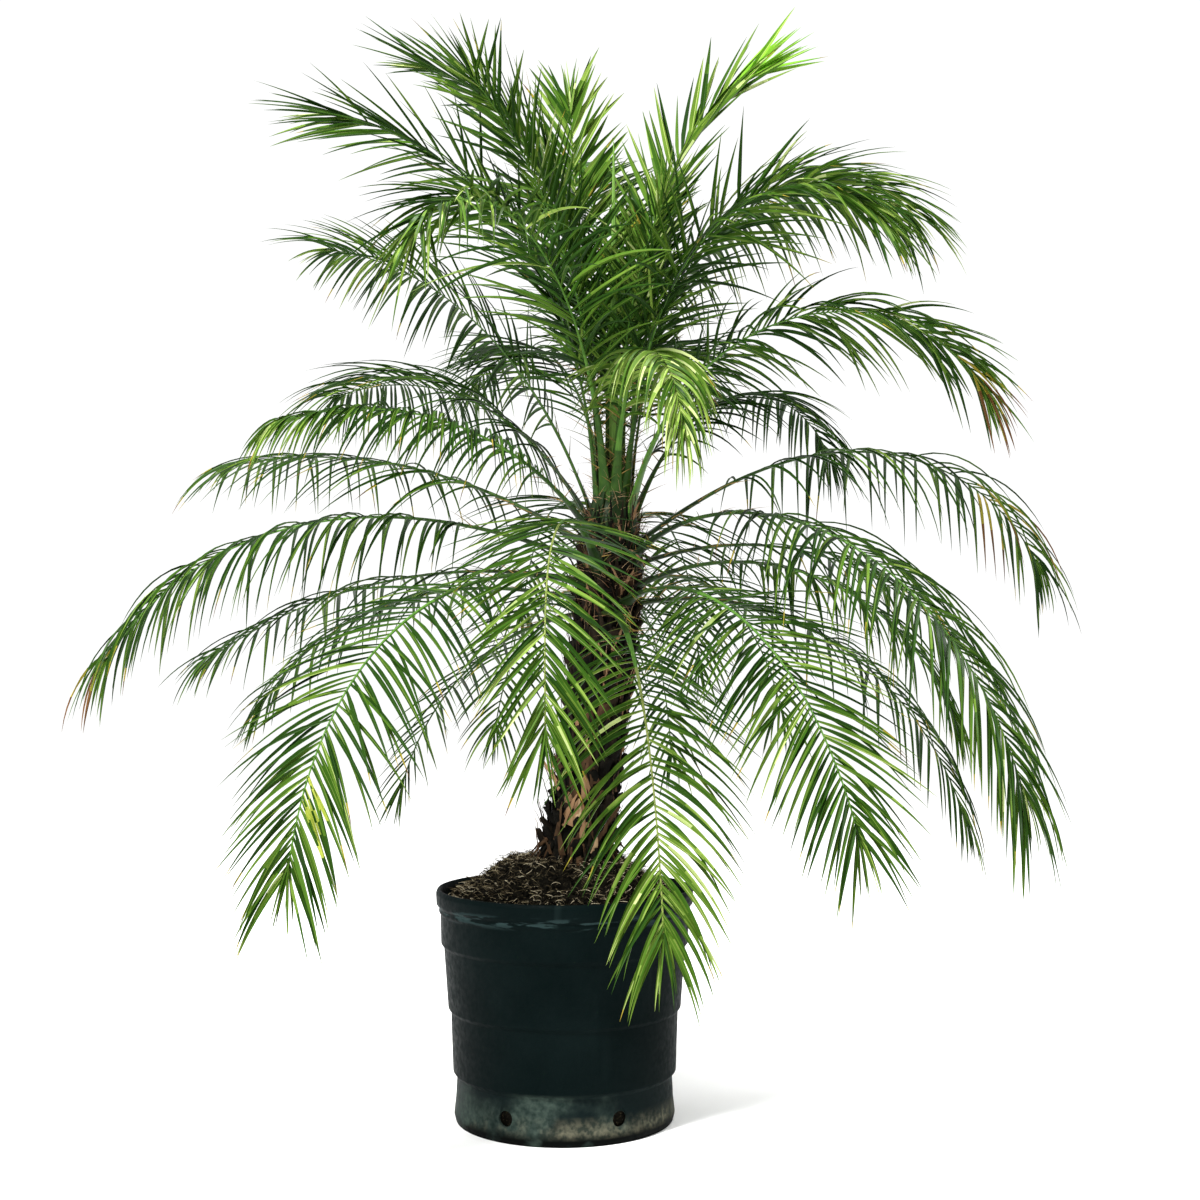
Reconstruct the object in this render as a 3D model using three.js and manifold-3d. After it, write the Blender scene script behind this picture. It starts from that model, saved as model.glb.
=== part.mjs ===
// Pygmy date palm in its black nursery pot.
// Millimetres, +Z up. The origin is the middle of the pot's flat underside, and the widest
// view of the crown is the one along +Y, with +X to the right.
import * as THREE from "three";
import { mergeVertices } from "three/addons/utils/BufferGeometryUtils.js";
import Module from "manifold-3d";

const wasm = await Module();
wasm.setup();

// ---------- driving dimensions ----------
const CLEARANCE = 0.3;            // between two pieces that rest on each other

const POT_HEIGHT = 395;
const POT_FLOOR = 4;
const POT_SIDES = 36;
const HOLE_COUNT = 6;
const HOLE_RADIUS = 13;
const HOLE_HEIGHT = 40;           // middle of a drain hole above the ground
const FIRST_HOLE = -120;          // degrees from +X
const DRILL_LENGTH = 40;

const SOIL_CREST = 440;           // flat top of the mound, where the trunk stands
const CREST_RADIUS = 104;
const SOIL_SHOULDER = 400;        // halfway down the mound's slope
const SHOULDER_RADIUS = 158;
const SOIL_EDGE = 374;            // height of the soil at the wall
const SOIL_GAP = 0.6;             // between the soil's side and the wall

const TRUNK_HEIGHT = 700;
const TRUNK_TOP = SOIL_CREST + TRUNK_HEIGHT;
const TRUNK_RADIUS = 50;          // without the old leaf bases
const TRUNK_TIP_RADIUS = 20;
const CROWN_START = 930;          // where the trunk begins to narrow into the heart
const TRUNK_OFFSET = 20;          // foot of the trunk from the pot's axis, along +X
const TRUNK_LEAN = 65;            // how much further along +X its top stands
const FLARE = 22;                 // extra radius of the root flare at the foot
const FLARE_HEIGHT = 38;
const TRUNK_SIDES = 16;
const TRUNK_RINGS = 36;
const BASE_DEPTH = 9;             // how far the old leaf bases stand out
const BASES_PER_TURN = 5;
const BASE_RISE = 38;             // height between two turns of old leaf bases
const BASE_FADE = 150;            // below the tip, the height over which they shrink away

const SPEAR_LENGTH = 560;         // the unopened leaf above the heart
const SPEAR_RADIUS = 9;

const RIB_STEPS = 60;             // steps in the running sum of a rib's curve
const ROOT_DEPTH = 25;            // how deep a stem starts in the trunk before it is cut clear
const RIB_TIP = 2.5;              // half the rib's width and height at its tip
const RIB_WIDER = 9.5;            // added to that half width at its foot
const RIB_HIGHER = 4;             // added to that half height at its foot
const YOUNG_RISE = 80;            // a frond as steep as this has a young, slim rib
const GROWN_RISE = 40;            // and one no steeper than this a full-grown one
const YOUNG_SLIM = 0.6;
const BARE_SHARE = 0.22;          // share of a frond that is stem, with no leaflets
const PAIR_PITCH = 90;            // distance between pairs of leaflets along the rib
const LEAF_REACH = 0.295;         // a leaflet's length as a share of its frond's
const OPEN_SEAT = 1000;           // a frond seated here or lower has opened fully
const CLOSED_SEAT = 1075;         // one seated here or higher holds its leaflets closer
const CLOSED_SHARE = 0.62;        // to the rib, at this share of the open angle
const LEAF_WIDTH = 25;
const LEAF_THICKNESS = 3;
const WIDEST = 0.4;               // where along its length a leaflet is widest
const LEAF_FOOT = 16;             // length of rib that one leaflet grows from
const END_LEAF = 110;             // leaflet at the end of the rib
const SPLIT_BEND = 115;           // a frond that bends more than this is two nodes
const SPLIT_PLACE = 0.5;

// One row for each frond. azimuth: degrees from +X seen from above, where the stem leaves the
// trunk. seat: height there. rise: the stem's slope at the trunk. bend: how far it has turned
// down at its tip. late: above 1 the turn comes late, below 1 early. sweep: turn of the azimuth
// over the length. roll: turn of the blade about its rib. droop: how far the leaflets hang.
const COLUMNS = ["name", "azimuth", "seat", "rise", "bend", "late", "length", "sweep", "roll", "droop"];
const FRONDS = [
  ["frond_left_upper", 150, 985, 32, 38, 1.0, 870, 0, 0, 0.6],
  ["frond_left_long", 180, 962, 20, 79, 1.5, 920, 0, 0, 0.8],
  ["frond_left_shaded", 160, 928, 11, 42, 1.0, 780, 0, 0, 0.6],
  ["frond_left_front", 214, 915, 20, 100, 0.8, 845, 26, -15, 0.4],
  ["frond_left_behind", 170, 895, 12, 68, 1.3, 650, 0, 0, 0.5],
  ["frond_left_low", 148, 870, -5, 66, 1.0, 540, 0, 0, 0.35],
  ["frond_front_left", 251, 935, 54, 140, 0.76, 725, 25, 0, 0.35],
  ["frond_front_low", 278.5, 870, 2, 72, 0.7, 755, -3, 0, 0.5],
  ["frond_front_right", 302, 885, 26, 92, 0.7, 780, -3, 18, 0.4],
  ["frond_right_arch", 15, 990, 36, 99, 1.6, 900, 0, 0, 0.8],
  ["frond_right_long", 321, 960, 50, 124, 0.63, 945, 0, 0, 0.7],
  ["frond_right_middle", 25, 955, 19, 60, 1.1, 700, 0, 0, 0.7],
  ["frond_right_front", 338, 915, 26, 94, 1.0, 650, 0, 0, 0.7],
  ["frond_right_low", 12, 885, 15, 86, 0.85, 785, 0, 0, 0.7],
  ["crown_left_back", 160, 1035, 69, 57, 1.3, 790, -6, 35, 0.45],
  ["crown_left_front", 206, 1005, 54, 74, 1.0, 610, 0, 0, 0.8],
  ["crown_left_low", 136, 1008, 57, 66, 1.0, 830, 4, 25, 0.6],
  ["crown_left_tall", 171, 1100, 86, 66, 2.4, 880, -10, 10, 0.2],
  ["crown_left_high", 201, 1060, 86, 77, 1.5, 870, -18, 0, 0.3],
  ["crown_front_left", 243, 1070, 80, 128, 1.45, 860, 0, 0, 0.5],
  ["crown_top_left", 138, 1105, 82, 8, 1.4, 720, -40, 0, 0.15],
  ["crown_top_back", 66, 1100, 82, 30, 1.4, 620, 0, 0, 0.2],
  ["crown_top_right", 350, 1090, 87, 57, 3.0, 790, 8, 40, 0.15],
  ["crown_right_high", 24, 1060, 84, 112, 1.9, 935, -8, -25, 0.6],
  ["crown_right_front", 316, 1075, 82, 130, 2.0, 810, 10, 0, 0.4],
  ["crown_right_wide", 345, 1050, 76, 134, 1.3, 810, 5, -15, 0.5],
  ["crown_right_back", 40, 1015, 64, 122, 1.6, 680, 0, 0, 0.6],
  ["crown_front", 279, 1068, 85, 152, 1.0, 610, 6, 0, 0.85],
  ["crown_back", 88, 1072, 78, 112, 1.4, 880, 5, 0, 0.35],
  ["crown_back_left", 109, 1040, 70, 100, 1.3, 820, 12, 0, 0.45],
  ["crown_back_right", 68, 1040, 72, 110, 1.4, 800, 10, 0, 0.45],
  ["crown_back_tall", 102, 1112, 82, 62, 1.6, 840, -8, 0, 0.25],
  ["crown_heart_left", 222, 1110, 84, 52, 1.5, 720, 8, 0, 0.25],
  ["crown_heart_right", 286, 1114, 84, 40, 1.5, 470, 14, 0, 0.25],
  ["frond_back_right", 72, 985, 40, 120, 1.0, 720, 0, 0, 0.45],
  ["frond_back_left", 106, 975, 42, 105, 1.1, 740, 0, 0, 0.5],
  ["frond_back", 88, 955, 30, 95, 1.1, 800, 0, 0, 0.5],
  ["frond_back_low_left", 112, 900, 12, 76, 1.1, 680, 0, 0, 0.45],
  ["frond_back_low", 78, 890, 14, 80, 1.0, 740, 0, 0, 0.45],
  ["frond_back_low_right", 56, 915, 18, 84, 1.1, 700, 0, 0, 0.5],
].map((row) => Object.fromEntries(row.map((value, i) => [COLUMNS[i], value])));

// Shapes that a leaflet tries in turn until one is clear of the limbs round it: its extra
// angle from the rib in degrees, its extra droop, and its share of the full length.
const LEAF_TRIES = [
  [0, 0, 1], [7, 0, 1], [-7, 0, 1], [0, 0.14, 1], [0, -0.14, 1], [14, 0.08, 0.95], [-12, 0.08, 0.95],
  [0, 0.28, 0.9], [0, -0.28, 0.9], [10, 0.2, 0.75], [-10, -0.15, 0.75], [20, 0, 0.6], [0, 0, 0.5],
];
const BEAD_STEP = 12;             // distance between the beads that stand for a limb
const BEAD_MIN = 6;               // radius of the smallest bead
const BEAD_CELL = 40;             // edge of the cells that the beads are filed in

const COLOURS = {
  pot: [0x10191a, 0.55],
  soil: [0x4a3d2e, 1.0],
  trunk: [0x3b2d20, 0.95],
  spear: [0x8fae4a, 0.6],
  frond: [0x3f6f2c, 0.6],
};

// ---------- small helpers ----------
const UP = new THREE.Vector3(0, 0, 1);
const radians = THREE.MathUtils.degToRad;

function moved(point, ...terms) {
  const result = point.clone();
  for (const [direction, amount] of terms) {
    result.addScaledVector(direction, amount);
  }
  return result;
}

function squareTo(vector, ...axes) {
  const result = vector.clone();
  for (const axis of axes) {
    result.addScaledVector(axis, -result.dot(axis));
  }
  return result.normalize();
}

// Gathers triangles, corner by corner, into a closed surface.
class Surface {
  constructor() {
    this.corners = [];
  }

  triangle(a, b, c) {
    for (const corner of [a, b, c]) {
      this.corners.push(corner.x, corner.y, corner.z);
    }
  }

  quad(a, b, c, d) {
    this.triangle(a, b, c);
    this.triangle(a, c, d);
  }

  // Side walls between two rings of corners, without the walls named in open.
  walls(ring, next, open = []) {
    for (let i = 0; i < ring.length; i++) {
      const j = (i + 1) % ring.length;
      if (!open.includes(i)) {
        this.quad(ring[i], ring[j], next[j], next[i]);
      }
    }
  }

  point(ring, tip) {
    for (let i = 0; i < ring.length; i++) {
      this.triangle(ring[i], ring[(i + 1) % ring.length], tip);
    }
  }

  geometry() {
    const geometry = new THREE.BufferGeometry();
    geometry.setAttribute("position", new THREE.Float32BufferAttribute(this.corners, 3));
    return geometry;
  }
}

function toSolid(geometry) {
  const bare = geometry.clone();
  bare.deleteAttribute("normal");
  bare.deleteAttribute("uv");
  const merged = mergeVertices(bare, 1e-4);
  const corners = Array.from(merged.index.array);
  const triangles = [];
  for (let i = 0; i < corners.length; i += 3) {
    const triangle = corners.slice(i, i + 3);
    if (new Set(triangle).size === 3) {
      triangles.push(...triangle);
    }
  }
  return new wasm.Manifold(new wasm.Mesh({
    numProp: 3,
    vertProperties: merged.attributes.position.array,
    triVerts: new Uint32Array(triangles),
  }));
}

function toGeometry(solid) {
  const mesh = solid.getMesh();
  const geometry = new THREE.BufferGeometry();
  geometry.setAttribute("position", new THREE.BufferAttribute(mesh.vertProperties, 3));
  geometry.setIndex(new THREE.BufferAttribute(mesh.triVerts, 1));
  return geometry;
}

function piece(name, geometry, [color, roughness]) {
  geometry.computeVertexNormals();
  const material = new THREE.MeshStandardMaterial({ color, roughness, metalness: 0 });
  const mesh = new THREE.Mesh(geometry, material);
  mesh.name = name;
  return mesh;
}

// ---------- pot and soil ----------
// Outer outline from the foot up: a dished bottom band, then three stepped bands, a thin bead
// and the rolled rim. The inner outline follows it back down, about 3 mm further in.
const POT_OUTSIDE = [
  [187, 0], [190, 12], [187, 40], [185, 77], [192, 84], [195.5, 186], [200.5, 192], [208, 296],
  [213, 302], [214, 352], [217, 357], [216, 364], [221, 369], [222, 388], [219, POT_HEIGHT],
];
const POT_INSIDE = [
  [215, POT_HEIGHT], [212, 386], [211, 352], [210, 304], [205, 298], [197.5, 194], [192.5, 188],
  [189, 86], [182, 79], [183, POT_FLOOR],
];

function lathe(outline, sides) {
  const points = outline.map(([radius, height]) => new THREE.Vector2(radius, height));
  const geometry = new THREE.LatheGeometry(points, sides);
  geometry.rotateX(Math.PI / 2);
  return geometry;
}

function potGeometry() {
  let pot = toSolid(lathe([[0, 0], ...POT_OUTSIDE, ...POT_INSIDE, [0, POT_FLOOR]], POT_SIDES));
  for (let i = 0; i < HOLE_COUNT; i++) {
    const drill = new THREE.CylinderGeometry(HOLE_RADIUS, HOLE_RADIUS, DRILL_LENGTH, 12);
    drill.rotateZ(Math.PI / 2);
    drill.translate(POT_INSIDE.at(-1)[0], 0, HOLE_HEIGHT);
    drill.rotateZ(radians(FIRST_HOLE + i * 360 / HOLE_COUNT));
    pot = pot.subtract(toSolid(drill));
  }
  return toGeometry(pot);
}

function soilGeometry() {
  const wall = POT_INSIDE.filter(([, height]) => height < SOIL_EDGE).reverse();
  const side = wall.map(([radius, height]) => [radius - SOIL_GAP, height]);
  side[0][1] += CLEARANCE;
  const mound = [
    [side.at(-1)[0], SOIL_EDGE], [SHOULDER_RADIUS, SOIL_SHOULDER], [CREST_RADIUS, SOIL_CREST],
  ];
  return lathe([[0, side[0][1]], ...side, ...mound, [0, SOIL_CREST]], POT_SIDES);
}

// ---------- trunk ----------
function trunkMiddle(z) {
  const share = (z - SOIL_CREST) / TRUNK_HEIGHT;
  return new THREE.Vector3(TRUNK_OFFSET + TRUNK_LEAN * Math.sin(share * Math.PI / 2), 0, z);
}

function trunkRadius(z) {
  const flare = FLARE * Math.exp(-(z - SOIL_CREST) / FLARE_HEIGHT);
  const narrowing = Math.max(0, (z - CROWN_START) / (TRUNK_TOP - CROWN_START));
  return TRUNK_RADIUS + flare - (TRUNK_RADIUS - TRUNK_TIP_RADIUS) * narrowing;
}

// The old leaf bases stand in rows that climb round the trunk, each one a peg that points up.
function leafBase(z, angle) {
  const turn = angle / (2 * Math.PI);
  const row = (z - SOIL_CREST) / BASE_RISE - turn * 2;
  const place = turn * BASES_PER_TURN + Math.floor(row) * 0.5;
  const across = Math.cos(2 * Math.PI * place) * 0.5 + 0.5;
  const along = 1 - Math.abs((row - Math.floor(row)) * 2 - 1);
  const fade = THREE.MathUtils.clamp((TRUNK_TOP - z) / BASE_FADE, 0, 1);
  return BASE_DEPTH * across * along * fade;
}

// A standing tube of rings whose radius comes from a function of height and angle.
function turnedTube(bottom, top, sides, rings, middle, radius) {
  const geometry = new THREE.CylinderGeometry(1, 1, top - bottom, sides, rings);
  geometry.rotateX(Math.PI / 2);
  geometry.translate(0, 0, (top + bottom) / 2);
  const place = geometry.attributes.position;
  for (let i = 0; i < place.count; i++) {
    const angle = Math.atan2(place.getY(i), place.getX(i));
    const onAxis = Math.hypot(place.getX(i), place.getY(i)) < 0.5;
    const height = place.getZ(i);
    const centre = middle(height);
    const reach = onAxis ? 0 : radius(height, angle);
    place.setXYZ(i, centre.x + reach * Math.cos(angle), centre.y + reach * Math.sin(angle), height);
  }
  return geometry;
}

function trunkGeometry(extra = 0) {
  const radius = (z, angle) => trunkRadius(z) + leafBase(z, angle) + extra;
  const bottom = SOIL_CREST + CLEARANCE - extra;
  return turnedTube(bottom, TRUNK_TOP + extra, TRUNK_SIDES, TRUNK_RINGS, trunkMiddle, radius);
}

function spearGeometry() {
  const bottom = TRUNK_TOP + CLEARANCE;
  const top = bottom + SPEAR_LENGTH;
  const radius = (z) => SPEAR_RADIUS * Math.pow(1.02 - (z - bottom) / SPEAR_LENGTH, 0.6);
  return turnedTube(bottom, top, 8, 6, () => trunkMiddle(TRUNK_TOP), radius);
}

// ---------- frond rib ----------
class Rib {
  constructor(frond) {
    this.frond = frond;
    const outward = new THREE.Vector3(1, 0, 0).applyAxisAngle(UP, radians(frond.azimuth));
    const seat = moved(trunkMiddle(frond.seat), [outward, trunkRadius(frond.seat)]);
    this.points = [seat];
    for (let i = 0; i < RIB_STEPS; i++) {
      const direction = this.along((i + 0.5) / RIB_STEPS);
      this.points.push(moved(this.points[i], [direction, frond.length / RIB_STEPS]));
    }
  }

  along(t) {
    const { azimuth, sweep, rise, bend, late } = this.frond;
    const slope = radians(rise - bend * Math.pow(Math.max(t, 0), late));
    const turn = radians(azimuth + sweep * t);
    return new THREE.Vector3(
      Math.cos(slope) * Math.cos(turn), Math.cos(slope) * Math.sin(turn), Math.sin(slope));
  }

  point(t) {
    if (t <= 0) {
      return moved(this.points[0], [this.along(0), t * this.frond.length]);
    }
    const step = Math.min(t * RIB_STEPS, RIB_STEPS - 1e-6);
    const before = Math.floor(step);
    return this.points[before].clone().lerp(this.points[before + 1], step - before);
  }

  // Directions along the rib, out to its left side, and up out of the blade.
  frame(t) {
    const along = this.along(t);
    const turn = radians(this.frond.azimuth + this.frond.sweep * t);
    const side = new THREE.Vector3(-Math.sin(turn), Math.cos(turn), 0);
    side.applyAxisAngle(along, radians(this.frond.roll) * Math.min(1, Math.max(0, t) / BARE_SHARE));
    return { along, side, over: along.clone().cross(side) };
  }

  // Four corners of the rib's section, counter-clockwise seen from its tip.
  ring(t) {
    const share = Math.max(0, 1 - Math.max(0, t));
    const young = THREE.MathUtils.mapLinear(this.frond.rise, GROWN_RISE, YOUNG_RISE, 1, YOUNG_SLIM);
    const slim = THREE.MathUtils.clamp(young, YOUNG_SLIM, 1);
    const wide = (RIB_TIP + RIB_WIDER * Math.pow(share, 4)) * slim;
    const high = (RIB_TIP + RIB_HIGHER * Math.pow(share, 2)) * slim;
    const { side, over } = this.frame(t);
    const centre = this.point(t);
    const signs = [[1, 1], [-1, 1], [-1, -1], [1, -1]];
    return signs.map(([s, o]) => moved(centre, [side, s * wide], [over, o * high]));
  }

  // Radius of the beads that stand for the rib.
  thickness(t) {
    return RIB_TIP + 1 + RIB_WIDER * Math.pow(Math.max(0, 1 - t), 4);
  }
}

// ---------- leaflets ----------
function leafShare(u) {
  return Math.min(1, 0.5 + 2.5 * u) * (1 - 0.35 * u * u);
}

// Degrees between a leaflet and its rib; a young frond near the heart is only half open.
function leafAngle(u, seat) {
  const opened = THREE.MathUtils.mapLinear(seat, OPEN_SEAT, CLOSED_SEAT, 1, CLOSED_SHARE);
  return (72 - 42 * u * u) * THREE.MathUtils.clamp(opened, CLOSED_SHARE, 1);
}

// A leaflet's middle line, a parabola that hangs as much as its frond's droop says.
function leafLine(rib, t, side, [swing, extraDroop, share]) {
  const u = (t - BARE_SHARE) / (1 - BARE_SHARE);
  const frame = rib.frame(t);
  const angle = radians(leafAngle(u, rib.frond.seat) + swing);
  const droop = rib.frond.droop + extraDroop;
  const length = LEAF_REACH * rib.frond.length * leafShare(u) * share;
  const out = moved(new THREE.Vector3(), [frame.along, Math.cos(angle)],
    [frame.side, side * Math.sin(angle)], [frame.over, 0.12]).normalize();
  const root = rib.point(t);
  const hanging = moved(out, [UP, -droop]).normalize();
  const tip = moved(root, [hanging, length]);
  const line = new THREE.QuadraticBezierCurve3(root, moved(root, [out, length / 2]), tip);
  return { root, widest: line.getPoint(WIDEST), tip, out: line.getTangent(WIDEST), frame, length };
}

// The leaflet's middle line as its two straight stretches, and half its width there.
function leafPoint(leaf, s) {
  if (s < WIDEST) {
    return leaf.root.clone().lerp(leaf.widest, s / WIDEST);
  }
  return leaf.widest.clone().lerp(leaf.tip, (s - WIDEST) / (1 - WIDEST));
}

function leafHalfWidth(s) {
  return LEAF_WIDTH / 2 * Math.min(1, 0.6 + s, (1 - s) / (1 - WIDEST));
}

// Adds one leaflet on the open wall between two rings of the rib: a foot, its widest place
// and its point.
function addLeaflet(surface, foot, leaf, side) {
  const across = squareTo(leaf.frame.along, leaf.out);
  const over = squareTo(leaf.frame.over, leaf.out, across);
  const signs = side < 0 ? [[-1, 1], [-1, -1], [1, -1], [1, 1]] : [[-1, -1], [-1, 1], [1, 1], [1, -1]];
  const middle = signs.map(([a, o]) =>
    moved(leaf.widest, [across, a * LEAF_WIDTH / 2], [over, o * LEAF_THICKNESS / 2]));
  surface.walls(foot, middle);
  surface.point(middle, leaf.tip);
}

// ---------- room in the crown ----------
// Every limb is kept as a row of beads, filed by cell, so that a new one can be tested.
class Room {
  constructor() {
    this.cells = new Map();
  }

  cell(x, y, z) {
    return `${Math.floor(x / BEAD_CELL)},${Math.floor(y / BEAD_CELL)},${Math.floor(z / BEAD_CELL)}`;
  }

  add(owner, beads) {
    for (const bead of beads) {
      const key = this.cell(bead.centre.x, bead.centre.y, bead.centre.z);
      if (!this.cells.has(key)) {
        this.cells.set(key, []);
      }
      this.cells.get(key).push({ owner, ...bead });
    }
  }

  isFree(owner, beads) {
    return beads.every((bead) => !this.inTrunk(bead) && !this.inPot(bead) && !this.meets(owner, bead));
  }

  meets(owner, { centre, radius }) {
    for (const x of [-BEAD_CELL, 0, BEAD_CELL]) {
      for (const y of [-BEAD_CELL, 0, BEAD_CELL]) {
        for (const z of [-BEAD_CELL, 0, BEAD_CELL]) {
          const near = this.cells.get(this.cell(centre.x + x, centre.y + y, centre.z + z)) ?? [];
          for (const other of near) {
            const room = other.radius + radius + 1;
            if (other.owner !== owner && other.centre.distanceTo(centre) < room) {
              return true;
            }
          }
        }
      }
    }
    return false;
  }

  inTrunk({ centre, radius }) {
    if (centre.z > TRUNK_TOP + 20) {
      return Math.hypot(centre.x - trunkMiddle(TRUNK_TOP).x, centre.y) < SPEAR_RADIUS + radius;
    }
    const off = Math.hypot(centre.x - trunkMiddle(centre.z).x, centre.y);
    return off < trunkRadius(Math.max(centre.z, SOIL_CREST)) + BASE_DEPTH + radius;
  }

  inPot({ centre, radius }) {
    const rim = Math.max(...POT_OUTSIDE.map(([width]) => width));
    return centre.z < SOIL_CREST + radius && Math.hypot(centre.x, centre.y) < rim + radius;
  }
}

function beads(length, pointAt, radiusAt) {
  const count = Math.ceil(length / BEAD_STEP);
  const row = [];
  for (let i = 0; i <= count; i++) {
    const s = i / count;
    row.push({ centre: pointAt(s), radius: Math.max(BEAD_MIN, radiusAt(s)) });
  }
  return row;
}

function leafBeads(leaf) {
  const row = beads(leaf.length, (s) => leafPoint(leaf, s), leafHalfWidth);
  return row.filter((bead) => bead.centre.distanceTo(leaf.root) > LEAF_FOOT);
}

// ---------- fronds ----------
// Picks a free shape for each leaflet; one that finds no room is left out.
function growLeaflets(rib, room) {
  const { name, length } = rib.frond;
  const count = Math.round(length * (1 - BARE_SHARE) / PAIR_PITCH);
  const pairs = [];
  for (let i = 0; i < count; i++) {
    const t = BARE_SHARE + (1 - BARE_SHARE) * (i + 0.4) / count;
    const pair = { t };
    for (const side of [1, -1]) {
      for (const attempt of LEAF_TRIES) {
        const leaf = leafLine(rib, t, side, attempt);
        const row = leafBeads(leaf);
        if (room.isFree(name, row)) {
          room.add(`${name} leaflet`, row.slice(1));
          pair[side] = leaf;
          break;
        }
      }
    }
    pairs.push(pair);
  }
  return pairs;
}

// The stretch of a frond between two shares of its length, as one closed surface.
function frondGeometry(rib, pairs, from, to) {
  const half = LEAF_FOOT / 2 / rib.frond.length;
  const surface = new Surface();
  let ring = rib.ring(from);
  surface.quad(...[...ring].reverse());
  if (from < 0) {
    const middle = rib.ring(BARE_SHARE / 2);
    const seat = rib.ring(0.02);
    surface.walls(ring, seat);
    surface.walls(seat, middle);
    ring = middle;
  }
  for (const pair of pairs.filter(({ t }) => t - half > from && t + half < to)) {
    const before = rib.ring(pair.t - half);
    const after = rib.ring(pair.t + half);
    surface.walls(ring, before);
    const open = [];
    if (pair[-1]) {
      open.push(1);
      addLeaflet(surface, [before[1], before[2], after[2], after[1]], pair[-1], -1);
    }
    if (pair[1]) {
      open.push(3);
      addLeaflet(surface, [before[3], before[0], after[0], after[3]], pair[1], 1);
    }
    surface.walls(before, after, open);
    ring = after;
  }
  const last = rib.ring(Math.min(to, 1));
  surface.walls(ring, last);
  if (to < 1) {
    surface.quad(...last);
  } else {
    surface.point(last, moved(rib.point(1), [rib.along(1), END_LEAF]));
  }
  return surface.geometry();
}

function frondPieces(rib, pairs, trunk) {
  const { name, bend, length } = rib.frond;
  const start = -ROOT_DEPTH / length;
  const cutClear = (geometry) => toGeometry(toSolid(geometry).subtract(trunk));
  if (bend < SPLIT_BEND) {
    return [piece(name, cutClear(frondGeometry(rib, pairs, start, 1)), COLOURS.frond)];
  }
  const gap = CLEARANCE / 2 / length;
  const base = cutClear(frondGeometry(rib, pairs, start, SPLIT_PLACE - gap));
  const tip = frondGeometry(rib, pairs, SPLIT_PLACE + gap, 1);
  return [piece(name, base, COLOURS.frond), piece(`${name}_tip`, tip, COLOURS.frond)];
}

function growFronds() {
  const room = new Room();
  const ribs = FRONDS.map((frond) => new Rib(frond));
  for (const rib of ribs) {
    const row = beads(rib.frond.length, (s) => rib.point(s), (s) => rib.thickness(s));
    room.add(rib.frond.name, row);
  }
  const trunk = toSolid(trunkGeometry(CLEARANCE));
  return ribs.flatMap((rib) => frondPieces(rib, growLeaflets(rib, room), trunk));
}

// ---------- the whole plant ----------
const palm = new THREE.Group();
palm.name = "pygmy_date_palm";
palm.add(piece("pot", potGeometry(), COLOURS.pot));
palm.add(piece("soil", soilGeometry(), COLOURS.soil));
palm.add(piece("trunk", trunkGeometry(), COLOURS.trunk));
palm.add(piece("spear", spearGeometry(), COLOURS.spear));
palm.add(...growFronds());

export default palm;
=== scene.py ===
import math

import bpy
import numpy as np
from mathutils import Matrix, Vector, noise


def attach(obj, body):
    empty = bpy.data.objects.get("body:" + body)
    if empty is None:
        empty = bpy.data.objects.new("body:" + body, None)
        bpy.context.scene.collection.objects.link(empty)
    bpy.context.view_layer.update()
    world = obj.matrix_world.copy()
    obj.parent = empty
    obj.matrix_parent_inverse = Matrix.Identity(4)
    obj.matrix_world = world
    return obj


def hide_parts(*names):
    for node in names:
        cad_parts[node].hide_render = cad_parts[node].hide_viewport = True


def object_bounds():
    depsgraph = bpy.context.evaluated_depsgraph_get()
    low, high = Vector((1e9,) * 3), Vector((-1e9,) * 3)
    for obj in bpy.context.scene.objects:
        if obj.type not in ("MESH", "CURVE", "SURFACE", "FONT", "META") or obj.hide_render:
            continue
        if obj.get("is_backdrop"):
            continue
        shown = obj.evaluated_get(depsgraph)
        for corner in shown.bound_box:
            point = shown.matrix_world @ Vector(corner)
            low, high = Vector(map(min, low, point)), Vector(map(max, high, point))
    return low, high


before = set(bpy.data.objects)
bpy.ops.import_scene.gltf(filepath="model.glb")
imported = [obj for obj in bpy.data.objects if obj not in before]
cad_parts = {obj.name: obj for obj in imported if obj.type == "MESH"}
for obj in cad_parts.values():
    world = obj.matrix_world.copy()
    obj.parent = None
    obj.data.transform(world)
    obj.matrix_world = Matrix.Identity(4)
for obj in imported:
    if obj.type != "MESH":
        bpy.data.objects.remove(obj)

CAD_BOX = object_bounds()
MM = 0.001
UP = np.array([0.0, 0.0, 1.0])
RIGHT = np.array([1.0, 0.0, 0.0])

# ---------- sizes shared with the solids, in millimetres ----------
POT_HEIGHT = 395
POT_FLOOR = 4
POT_OUTSIDE = [
    (187, 0), (190, 12), (187, 40), (185, 77), (192, 84), (195.5, 186), (200.5, 192), (208, 296),
    (213, 302), (214, 352), (217, 357), (216, 364), (221, 369), (222, 388), (219, POT_HEIGHT),
]
POT_INSIDE = [
    (215, POT_HEIGHT), (212, 386), (211, 352), (210, 304), (205, 298), (197.5, 194), (192.5, 188),
    (189, 86), (182, 79), (183, POT_FLOOR),
]
HOLE_COUNT = 6
HOLE_RADIUS = 13
HOLE_HEIGHT = 40
HOLE_REACH = 185                  # the wall's radius at the holes
FIRST_HOLE = -120                 # degrees from +X

SOIL_CREST = 440                  # where the trunk leaves the soil
CREST_RADIUS = 104
SOIL_SHOULDER = 400
SHOULDER_RADIUS = 158
SOIL_EDGE = 374
SOIL_GAP = 0.6                    # between the soil and the pot

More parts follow.
